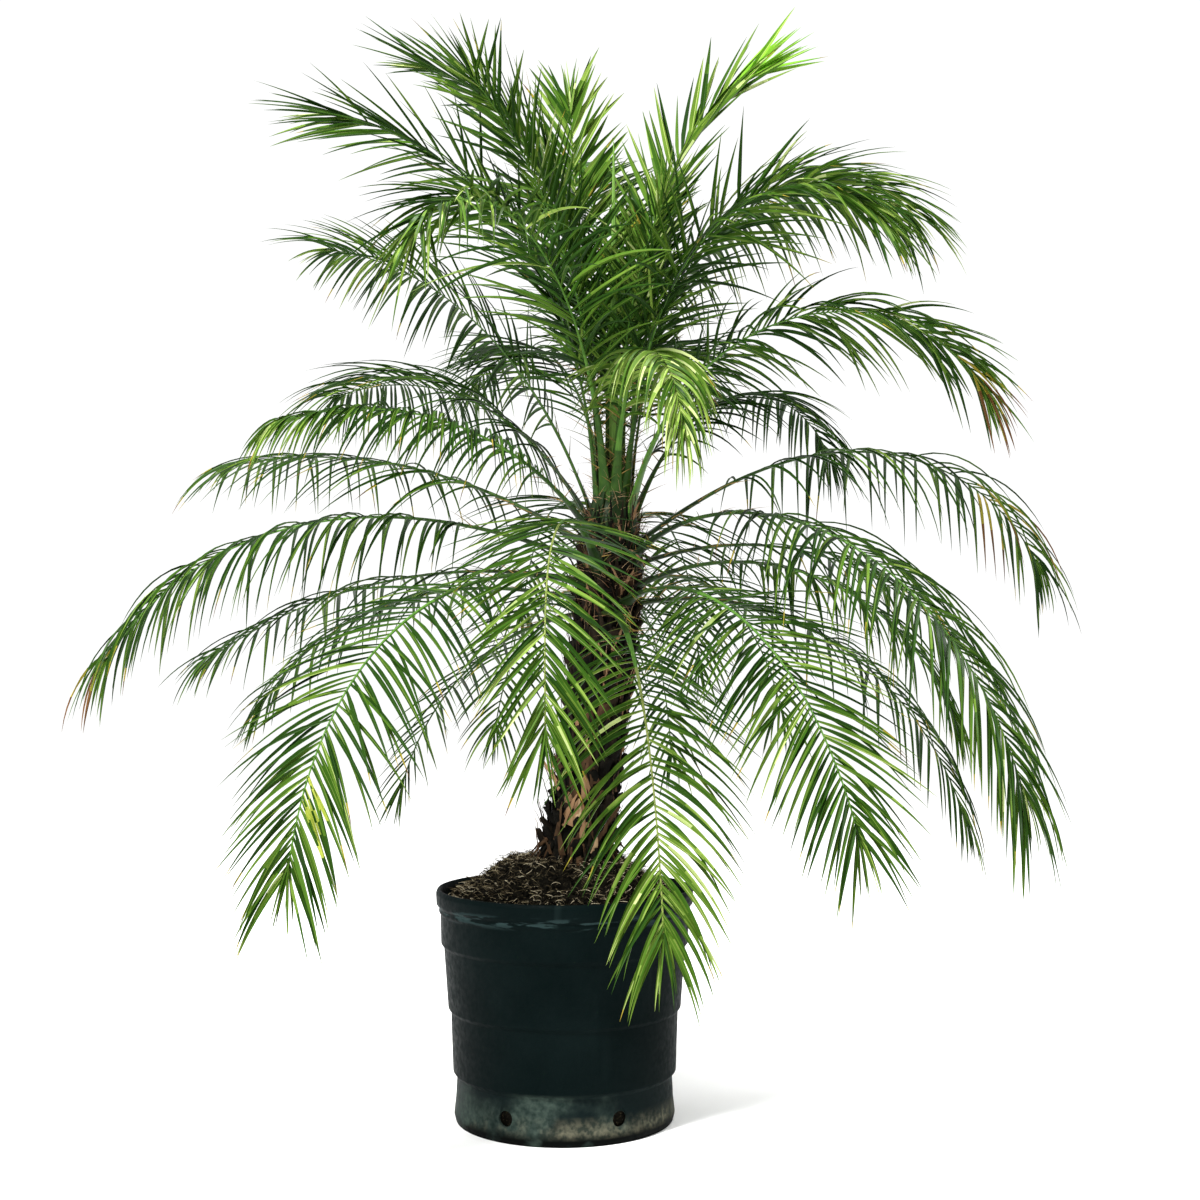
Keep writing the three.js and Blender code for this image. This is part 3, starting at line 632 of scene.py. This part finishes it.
def frond_leaflets(skin, rib, random):
    top = rib.frond["name"].startswith("crown_top")
    pitches = CROWN_PITCH if rib.frond["seat"] > OPEN_SEAT else PAIR_PITCH
    pitch = TOP_PITCH if top else np.interp(rib.frond["tone"], PITCH_TONES, pitches)
    widest = TOP_LEAF_WIDTH if top else BROAD_LEAVES.get(rib.frond["name"], LEAF_WIDTH)
    straight = np.interp(rib.frond["droop"], DROOPS, STRAIGHT)
    count = round(rib.length * (1 - BARE_SHARE) / pitch)
    for side in (1, -1):
        place = (np.arange(count) + random.uniform(0.15, 0.85, count)) / count
        t = BARE_SHARE + (1 - BARE_SHARE) * place ** CROWDING
        lines = leaf_lines(rib, t, side, random)
        tones = leaf_tones(rib, t, random)
        add_leaflets(skin, lines, widest, straight, tones, *worn(rib, t, side, random), random)
    end, sound = np.array(END_PLACES), np.zeros(len(END_PLACES))
    share = END_LEAF * END_LONGER / (LEAF_REACH * rib.length)
    for side in (END_SPREAD, -END_SPREAD):
        lines = leaf_lines(rib, end, side, random, share)
        add_leaflets(skin, lines, widest, straight, leaf_tones(rib, end, random), sound, sound, random)


def frond_spines(skin, rib, random):
    """Thin spines along the bare stem, longer towards the leaflets."""
    count = round(rib.length * BARE_SHARE / SPINE_PITCH)
    for side in (1, -1):
        t = BARE_SHARE * (np.arange(count) + random.uniform(0.3, 1.0, count)) / count * 1.1
        along, left, over = rib.frame(t)
        length = 22 + 60 * (t / BARE_SHARE) ** 1.5 * random.uniform(0.5, 1.1, count)
        lean = random.uniform(0.4, 1.1, count)[:, None]
        way = unit(left * side + along * lean + over * random.normal(0.15, 0.25, count)[:, None])
        wide, _ = rib.half_sizes(t)
        root = rib.point(t) + left * side * (wide * 0.8)[:, None]
        add_needles(skin, root, way, length, 1.1, random.integers(0, 2, count), sag=0.1)


def add_needles(skin, root, way, length, radius, tones, sag=0.0, steps=4, sides=3):
    """Thin tapering tubes that start one way and sag towards the ground."""
    s = np.linspace(0, 1, steps + 1)[None, :, None]
    middle = root[:, None] + (way[:, None] * s - UP * sag * s ** 2) * length[:, None, None]
    first = square_to(np.where(np.abs(way[:, 2:]) > 0.9, RIGHT, UP), way)
    second = np.cross(way, first)
    angle = np.arange(sides) / sides * 2 * math.pi
    ring = np.cos(angle)[:, None] * first[:, None] + np.sin(angle)[:, None] * second[:, None]
    size = np.asarray(radius) * np.ones(len(root))
    rows = middle[:, :, None] + ring[:, None] * (size[:, None, None, None] * (1.05 - s[..., None]))
    skin.add(rows, tones[:, None, None], closed=True)


def leaflet_pieces(ribs):
    """The leaflets, joined by the side of the plant that they grow on."""
    materials = [two_tone(name, first, second, 22, 0.4, specular=0.04)
                 for name, first, second in LEAF_TONES]
    groups = {"leaflets_crown": [], "leaflets_back": [], "leaflets_left": [], "leaflets_right": []}
    for rib in ribs:
        name = rib.frond["name"]
        across = math.cos(math.radians(rib.frond["azimuth"]))
        if name.startswith("crown"):
            key = "leaflets_crown"
        elif "back" in name:
            key = "leaflets_back"
        else:
            key = "leaflets_left" if across < 0 else "leaflets_right"
        groups[key].append(rib)
    for number, (key, members) in enumerate(groups.items()):
        random = np.random.default_rng(100 + number)
        skin = Skin()
        for rib in members:
            frond_leaflets(skin, rib, random)
        nodes = [node for rib in members for node in frond_nodes(rib)]
        dress(skin.build(key, materials), "frond", *nodes)


def frond_nodes(rib):
    """The solids of a frond; one that bends far has a second for its tip."""
    name = rib.frond["name"]
    return [node for node in (name, f"{name}_tip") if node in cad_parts]


def stem_pieces(ribs):
    random = np.random.default_rng(7)
    stems, spines = Skin(), Skin()
    for rib in ribs:
        rib_tube(stems, rib)
        frond_spines(spines, rib, random)
    nodes = [node for rib in ribs for node in frond_nodes(rib)]
    stem_materials = [two_tone(name, first, second, 60, 0.4, 0.3, specular=0.1)
                      for name, first, second in STEM_TONES]
    spine_materials = [two_tone(name, first, second, 90, 0.5, specular=0.1)
                       for name, first, second in SPINE_TONES]
    dress(stems.build("frond_stems", stem_materials), "frond", *nodes)
    dress(spines.build("stem_spines", spine_materials), "frond")


# ---------- spear ----------
def spear_piece():
    """The unopened leaf: a slim bundle of pleats that closes to a point."""
    rings, sides, pleats = 40, 28, 7
    s = np.linspace(0, 1, rings)[:, None]
    angle = np.arange(sides)[None, :] / sides * 2 * math.pi + s * 1.5
    radius = SPEAR_RADIUS * np.maximum(1.02 - s, 0) ** 0.6 * (0.86 + 0.14 * np.cos(angle * pleats))
    foot = trunk_middle(TRUNK_TOP)
    rows = foot + around(angle) * radius[..., None] + UP * (s * SPEAR_LENGTH)[..., None]
    skin = Skin()
    skin.add(rows[None], 0, closed=True)
    material = two_tone("spear_green", (70, 106, 38), (92, 126, 52), 30, 0.45, 0.4, (1, 1, 0.08))
    dress(skin.build("spear_leaf", [material]), "spear", "spear")


# ---------- trunk ----------
def rough(point, scale, seed=0.0):
    """Smooth noise from -1 to 1 at a place in millimetres, with lumps about scale wide."""
    return noise.noise(Vector(point) / scale + Vector((seed, seed, seed)))


def on_trunk(height, out, lift):
    """Places at these heights, on the sides that out points to, this far off the trunk."""
    return trunk_middle(height) + out * (trunk_radius(height) + lift)[:, None]


def bark_tube(skin):
    """The trunk under its old leaf bases, with lumps and a furrowed surface."""
    rings, sides = 220, 96
    height = np.linspace(SOIL_CREST - 12, TRUNK_TOP, rings)
    angle = np.arange(sides) / sides * 2 * math.pi
    centre = trunk_middle(height)
    rows = np.empty((rings, sides, 3))
    for i in range(rings):
        base = trunk_radius(max(height[i], SOIL_CREST)) - 3
        for j in range(sides):
            way = around(angle[j])
            place = way * base + UP * height[i]
            lumps = 3.0 * rough(place, 26) + 2.0 * rough(place * (1, 1, 0.4), 7, 3.0)
            rows[i, j] = centre[i] + way * (base + lumps)
    skin.add(rows[None], 0, closed=True)


def boot_pieces(skin, random):
    """The pegs of old leaf bases, set round the trunk by the golden angle."""
    count = 250
    number = np.arange(count)
    height = SOIL_CREST + 16 + number * (CROWN_START + 40 - SOIL_CREST) / count
    angle = number * math.radians(137.508) + random.normal(0, 0.06, count)
    height = height + random.normal(0, 3, count)
    out = around(angle)
    sideways = np.cross(UP, out)
    way = unit(out * random.uniform(0.45, 0.8, count)[:, None] + UP)
    thick_way = np.cross(sideways, way)
    length = random.uniform(20, 36, count)
    wide = random.uniform(9, 13, count)
    thick = random.uniform(4.5, 7, count)
    foot = on_trunk(height, out, -5)
    rings = np.array([[-0.25, 1.15], [0.1, 1.1], [0.5, 0.95], [0.85, 0.8], [1.0, 0.6], [0.93, 0.12]])
    sides = 8
    turn = np.arange(sides) / sides * 2 * math.pi
    rows = np.empty((count, len(rings), sides, 3))
    for row, (share, size) in enumerate(rings):
        centre = foot + way * (length * share)[:, None]
        ring = (np.cos(turn)[None, :, None] * (wide * size)[:, None, None] * sideways[:, None]
                + np.sin(turn)[None, :, None] * (thick * size)[:, None, None] * thick_way[:, None])
        rows[:, row] = centre[:, None] + ring + random.normal(0, 0.9, (count, sides, 3))
    tones = random.choice(4, count, p=(0.62, 0.27, 0.08, 0.03))
    skin.add(rows[:, :, ::-1], tones[:, None, None], closed=True)


def add_shreds(skin, foot, way, out, length, width, curl, tones, random):
    """Torn strips of old sheath that lie on the trunk and curl off it at their tips."""
    steps = 6
    s = np.linspace(0, 1, steps + 1)[None, :, None]
    sideways = np.cross(way, out)
    middle = foot[:, None] + way[:, None] * s * length[:, None, None]
    middle = middle + out[:, None] * (curl[:, None, None] * s ** 2)
    middle = middle + random.normal(0, 0.8, middle.shape)
    half = sideways[:, None] * (width[:, None, None] / 2 * (1.02 - s) ** 0.5)
    rows = np.stack([middle - half, middle + out[:, None] * 0.8, middle + half], axis=2)
    skin.add(rows, tones[:, None, None])


def trunk_shreds(skin, random):
    count = 620
    height = random.uniform(SOIL_CREST, CROWN_START + 90, count)
    angle = random.uniform(0, 2 * math.pi, count)
    out = around(angle)
    sideways = np.cross(UP, out)
    way = unit(UP + sideways * random.normal(0, 0.3, count)[:, None] + out * 0.08)
    foot = on_trunk(height, out, random.uniform(0, 7, count))
    length = random.uniform(25, 75, count)
    width = random.uniform(3, 9, count)
    curl = random.uniform(-3, 14, count)
    split = (height < SPLIT_BASES) & (np.cos(angle - SPLIT_SIDE) > 0.3)
    tones = random.choice(4, count, p=(0.5, 0.3, 0.14, 0.06))
    tones = np.where(split, random.choice(5, count, p=(0.1, 0.2, 0.35, 0.25, 0.1)), tones)
    add_shreds(skin, foot, way, out, length, width * (1 + split), curl, tones, random)


def trunk_fibres(skin, random):
    """Loose fibres of the sheaths, thickest in the heart of the crown."""
    count = 900
    height = CROWN_START + random.normal(40, 95, count)
    height = np.clip(height, SOIL_CREST + 20, TRUNK_TOP - 10)
    angle = random.uniform(0, 2 * math.pi, count)
    out = around(angle)
    sideways = np.cross(UP, out)
    upward = UP * random.uniform(0.2, 1, count)[:, None]
    spread = sideways * random.normal(0, 1, count)[:, None]
    way = unit(upward + spread + out * random.uniform(0, 0.5, count)[:, None])
    foot = on_trunk(height, out, random.uniform(-2, 6, count))
    length = random.uniform(18, 60, count)
    add_needles(skin, foot, way, length, 0.7, random.choice((2, 3, 4), count), sag=0.25)


def dead_scraps(skin, random):
    """Papery remains of dead sheaths that stand off the trunk's right side."""
    count = 12
    angle = np.radians(random.uniform(-65, 30, count))
    out = around(angle)
    height = random.uniform(905, 985, count)
    foot = on_trunk(height, out, -2)
    way = unit(out + UP * random.uniform(-0.1, 0.8, count)[:, None])
    over = np.cross(np.cross(way, UP), way)
    length = random.uniform(35, 80, count)
    tones = random.choice((1, 2, 3), count)
    add_shreds(skin, foot, way, over, length, random.uniform(7, 17, count),
               random.uniform(-45, 5, count), tones, random)


def root_knobs(skin, random):
    """Stubby roots that swell out of the foot and dive into the soil."""
    count = 150
    angle = random.uniform(0, 2 * math.pi, count)
    height = SOIL_CREST + random.uniform(-2, 48, count)
    out = around(angle)
    dive = random.uniform(0.3, 1.0, count)[:, None]
    way = unit(out * random.uniform(0.5, 1.2, count)[:, None] - UP * dive)
    foot = on_trunk(height, out, -8)
    length = random.uniform(16, 44, count)
    add_needles(skin, foot, way, length, random.uniform(3, 7, count), random.choice((0, 0, 1, 2), count),
                sag=0.5, steps=6, sides=6)


# Name, two colours, scale, roughness, relief, and how much the grain is drawn out upward.
BARK_TONES = [
    ("bark_black", (6, 6, 4), (16, 14, 10), 90, 0.9, 1.2, 0.35),
    ("bark_dark", (17, 14, 10), (32, 26, 18), 90, 0.9, 1.2, 0.35),
    ("bark_brown", (48, 35, 23), (68, 50, 34), 110, 0.85, 0.8, 0.25),
    ("bark_tan", (108, 82, 58), (132, 104, 76), 110, 0.85, 0.6, 0.2),
    ("bark_pale", (146, 120, 88), (164, 140, 108), 110, 0.85, 0.4, 0.2),
]


def trunk_pieces():
    random = np.random.default_rng(21)
    bark = [two_tone(*tone, (1, 1, squash), 0.05) for *tone, squash in BARK_TONES]
    skin = Skin()
    bark_tube(skin)
    boot_pieces(skin, random)
    root_knobs(skin, random)
    dress(skin.build("trunk_bark", bark), "trunk", "trunk")
    skin = Skin()
    trunk_shreds(skin, random)
    trunk_fibres(skin, random)
    dead_scraps(skin, random)
    dress(skin.build("trunk_fibre", bark), "trunk")


# ---------- soil ----------
def mound_height(radius):
    radii = (0, CREST_RADIUS, SHOULDER_RADIUS, 190, 210)
    heights = (SOIL_CREST + 4, SOIL_CREST, SOIL_SHOULDER, SOIL_EDGE + 4, SOIL_EDGE - 14)
    return np.interp(radius, radii, heights)


def soil_top(x, y):
    """Height of the soil's crumbly surface."""
    radius = np.hypot(x, y)
    place = (x, y, 0.0)
    lumps = 7 * rough(place, 45) + 6 * rough(place, 17, 5.0) + 3 * rough(place, 7, 9.0)
    return float(mound_height(radius)) + lumps * min(1.0, max(0.15, (212 - radius) / 20))


def on_soil(angle, radius):
    """The soil's surface at these angles and this far from the pot's middle."""
    x, y = radius * np.cos(angle), radius * np.sin(angle)
    return np.stack([x, y, [soil_top(*place) for place in zip(x, y)]], -1)


def soil_piece():
    """The mound, and the side of the root ball that shows through the drain holes."""
    sides = 160
    angle = np.arange(sides) / sides * 2 * math.pi
    wall = [(radius - SOIL_GAP, height) for radius, height in reversed(POT_INSIDE) if height < SOIL_EDGE]
    wall[0] = (wall[0][0], POT_FLOOR + 0.3)
    radii = np.concatenate([np.linspace(wall[-1][0] - 2, 4, 70), [0.5]])
    rows = [around(angle) * radius + UP * height for radius, height in [(1, wall[0][1])] + wall]
    rows += [on_soil(angle, radius) for radius in radii]
    skin = Skin()
    skin.add(np.array(rows)[None], 0, closed=True)
    shader = Shader("potting_mix", 0.95, 0.03)
    coarse, fine = shader.noise(60, 6), shader.noise(260, 4)
    dark = shader.mix(shader.remap(coarse, 0.35, 0.7), colour(3, 3, 2), colour(19, 17, 12))
    shader.paint(shader.mix(shader.remap(fine, 0.56, 0.78), dark, colour(60, 54, 40)))
    shader.relief(fine, 3.0)
    dress(skin.build("potting_mix", [shader.material]), "soil", "soil")


def scatter_on_soil(count, random):
    """Random places on the mound, away from its very middle, and the heights there."""
    radius = np.sqrt(random.uniform(0.05, 1, count)) * 200
    return on_soil(random.uniform(0, 2 * math.pi, count), radius)


# Name, two colours, scale, roughness and relief.
LITTER_TONES = [
    ("root_dark", (8, 7, 5), (22, 19, 13), 120, 0.9, 0),
    ("root_brown", (62, 55, 41), (84, 74, 56), 120, 0.9, 0),
    ("root_tan", (116, 106, 82), (142, 130, 104), 120, 0.9, 0),
    ("root_pale", (172, 160, 132), (190, 180, 154), 120, 0.9, 0),
    ("crumb", (4, 4, 3), (17, 15, 10), 150, 0.95, 0.8),
]


def soil_litter():
    """Fine dry roots and crumbs of bark that lie on the mound."""
    random = np.random.default_rng(31)
    litter = [two_tone(*tone, specular=0.03) for tone in LITTER_TONES]
    skin = Skin()
    count = 4800
    foot = scatter_on_soil(count, random)
    angle = random.uniform(0, 2 * math.pi, count)
    way = unit(around(angle) + UP * random.uniform(0.0, 1.8, count)[:, None])
    length = random.uniform(6, 24, count)
    end = foot + way * length[:, None]
    way = np.where(np.hypot(end[:, :1], end[:, 1:2]) > 200, way * (-1, -1, 1), way)
    tones = random.choice(4, count, p=(0.46, 0.26, 0.17, 0.11))
    add_curls(skin, foot, way, length, random.uniform(0.25, 0.6, count), tones, random)
    count = 1400
    place = scatter_on_soil(count, random)
    add_crumbs(skin, place, random.uniform(2, 5.5, count), random)
    dress(skin.build("soil_litter", litter), "soil")


def add_curls(skin, foot, way, length, radius, tones, random):
    """Hair-thin roots, each one bent along an arc."""
    steps, sides = 5, 3
    s = np.linspace(0, 1, steps + 1)[None, :, None]
    sideways = square_to(np.cross(way, UP), way)
    turns = random.uniform(2, 5, len(foot))[:, None, None]
    arch = sideways[:, None] * (np.sin(turns * s) * random.normal(0, 0.45, len(foot))[:, None, None])
    hump = UP * (s * (1 - s) * random.uniform(0.1, 1.1, len(foot))[:, None, None] - 0.05)
    middle = foot[:, None] + (way[:, None] * s * (1, 1, 0.6) + arch + hump) * length[:, None, None]
    angle = np.arange(sides) / sides * 2 * math.pi
    ring = np.cos(angle)[:, None] * sideways[:, None] + np.sin(angle)[:, None] * UP
    rows = middle[:, :, None] + ring[:, None] * radius[:, None, None, None]
    skin.add(rows, tones[:, None, None], closed=True)


def add_crumbs(skin, place, size, random):
    """Rough lumps of a few faces."""
    sides, count = 6, len(place)
    angle = np.arange(sides) / sides * 2 * math.pi
    levels = np.array([[-0.7, 0.1], [-0.35, 0.85], [0.3, 0.8], [0.65, 0.08]])
    rows = np.empty((count, len(levels), sides, 3))
    for row, (height, radius) in enumerate(levels):
        ring = around(angle) * radius + UP * height
        rows[:, row] = place[:, None] + ring * size[:, None, None]
    rows += random.normal(0, 0.14, rows.shape) * size[:, None, None, None]
    skin.add(rows, 4, closed=True)


# ---------- pot ----------
def rounded(outline, radius=1.6):
    """The outline with each corner cut into a short curve."""
    points = [np.array(outline[0], float)]
    for before, corner, after in zip(outline, outline[1:], outline[2:]):
        before, corner, after = (np.array(p, float) for p in (before, corner, after))
        reach_in = min(radius, np.linalg.norm(before - corner) / 2.2)
        reach_out = min(radius, np.linalg.norm(after - corner) / 2.2)
        start = corner + unit(before - corner) * reach_in
        end = corner + unit(after - corner) * reach_out
        points += [start, (start + end) / 4 + corner / 2, end]
    points.append(np.array(outline[-1], float))
    return points


def pot_piece():
    sides = 180
    outline = rounded([(1, 0)] + POT_OUTSIDE + POT_INSIDE + [(1, POT_FLOOR)])
    angle = np.arange(sides) / sides * 2 * math.pi
    rows = []
    for radius, height in outline:
        wobble = 1.2 * np.sin(2 * angle + 0.6) * min(1.0, height / POT_HEIGHT)
        reach = np.full(sides, radius) + (wobble if radius > 2 else 0)
        rows.append(around(angle) * reach[:, None] + UP * height)
    skin = Skin()
    skin.add(np.array(rows)[None], 0, closed=True)
    pot = skin.build("pot_shell", [pot_material()])
    drill_holes(pot)
    dress(pot, "pot", "pot")


def drill_holes(pot):
    """Cuts the drain holes round the bottom band."""
    drills = []
    for i in range(HOLE_COUNT):
        angle = math.radians(FIRST_HOLE + i * 360 / HOLE_COUNT)
        reach = HOLE_REACH * MM
        middle = Vector((math.cos(angle) * reach, math.sin(angle) * reach, HOLE_HEIGHT * MM))
        bpy.ops.mesh.primitive_cylinder_add(
            vertices=28, radius=HOLE_RADIUS * MM, depth=0.03, location=middle,
            rotation=(0, math.pi / 2, angle))
        drill = bpy.context.object
        cut = pot.modifiers.new("hole", "BOOLEAN")
        cut.operation = "DIFFERENCE"
        cut.solver = "EXACT"
        cut.object = drill
        drills.append(drill)
    bpy.context.view_layer.objects.active = pot
    for cut in list(pot.modifiers):
        bpy.ops.object.modifier_apply(modifier=cut.name)
    for drill in drills:
        bpy.data.meshes.remove(drill.data)


def pot_material():
    """Black plastic with a blue-green cast, dusty over the bottom band, with patches of earth low down
    and ragged near-black patches at its very foot.
    """
    shader = Shader("pot_plastic", 0.5, 0.02)
    height = shader.height()
    cloud, grain, streak = shader.noise(9, 5), shader.noise(110, 5), shader.noise(30, 4, (1, 1, 0.12))
    black = shader.mix(shader.remap(cloud, 0.35, 0.7), colour(2, 9, 9), colour(6, 15, 15))
    dust_band = shader.remap(height, 0.086, 0.078)
    dusty = shader.mix(shader.remap(grain, 0.3, 0.7), colour(24, 35, 32), colour(52, 63, 57))
    band = shader.mix(shader.remap(cloud, 0.4, 0.56), dusty, colour(11, 20, 20))
    with_band = shader.mix(dust_band, black, band)
    patch = shader.noise(16, 5)
    dirt = shader.times(shader.remap(height, 0.05, 0.016), shader.remap(patch, 0.45, 0.62))
    earth = shader.mix(shader.remap(grain, 0.4, 0.65), colour(50, 54, 46), colour(98, 96, 80))
    with_dirt = shader.mix(dirt, with_band, earth)
    # Near-black in ragged patches at the very foot.
    foot = shader.times(shader.remap(height, 0.024, 0.01), shader.remap(patch, 0.36, 0.46))
    with_foot = shader.mix(foot, with_dirt, colour(5, 7, 6))
    wear = shader.times(shader.remap(streak, 0.64, 0.8), shader.remap(height, 0.2, 0.34, 0.05, 0.3))
    worn = shader.mix(wear, with_foot, colour(30, 42, 41))
    chips = shader.noise(24, 5, (1, 1, 5))
    under_lip = shader.times(shader.remap(height, 0.35, 0.362), shader.remap(height, 0.376, 0.366))
    scuffs = shader.times(under_lip, shader.remap(chips, 0.54, 0.6))
    shader.paint(shader.mix(scuffs, worn, colour(34, 48, 48)))
    shader.shine(shader.remap(grain, 0.3, 0.7, 0.42, 0.66))
    shader.relief(grain, 0.4)
    return shader.material


# ---------- stage ----------
IMAGE_PIXELS = 1200
FOCAL_PIXELS = 1662               # fitted, like the place and the tilt, to the pot's ellipses
SENSOR_WIDTH = 36
CAMERA_PLACE = (0.061, -2.9, 0.80)
CAMERA_TILT = 1.83                # degrees above level


def camera():
    data = bpy.data.cameras.new("camera")
    data.sensor_width = SENSOR_WIDTH
    data.lens = FOCAL_PIXELS / IMAGE_PIXELS * SENSOR_WIDTH
    view = bpy.data.objects.new("camera", data)
    view.location = CAMERA_PLACE
    view.rotation_euler = (math.radians(90 + CAMERA_TILT), 0, 0)
    bpy.context.scene.collection.objects.link(view)
    bpy.context.scene.camera = view


def area_light(name, place, target, size, power):
    data = bpy.data.lights.new(name, "AREA")
    data.shape = "DISK"
    data.size = size
    data.energy = power
    light = bpy.data.objects.new(name, data)
    light.location = place
    light.rotation_euler = (Vector(target) - Vector(place)).to_track_quat("-Z", "Y").to_euler()
    bpy.context.scene.collection.objects.link(light)


def floor_and_light():
    bpy.ops.mesh.primitive_plane_add(size=30, location=(0, 0, 0))
    floor = bpy.context.object
    floor.name = "studio_floor"
    white = two_tone("studio_white", (249, 249, 248), (251, 251, 250), 2, 0.9, specular=0.0)
    floor.data.materials.append(white)
    floor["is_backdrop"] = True
    world = bpy.data.worlds.new("studio")
    world.use_nodes = True
    sky = world.node_tree.nodes["Background"]
    sky.inputs["Color"].default_value = (1.0, 1.0, 1.0, 1.0)
    sky.inputs["Strength"].default_value = 1.06
    bpy.context.scene.world = world
    bpy.context.scene.view_settings.view_transform = "Standard"
    area_light("key", (-1.7, -2.2, 3.9), (0, 0, 1.0), 0.8, 420)
    area_light("top", (1.0, 0.6, 4.2), (0, 0, 1.0), 1.4, 150)


camera()
floor_and_light()
RIBS = [Rib(frond) for frond in FRONDS]
leaflet_pieces(RIBS)
stem_pieces(RIBS)
spear_piece()
trunk_pieces()
soil_piece()
soil_litter()
pot_piece()
BOXES = {"cad": CAD_BOX, "visual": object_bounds()}
BOXES = {name: [list(corner) for corner in box] for name, box in BOXES.items()}
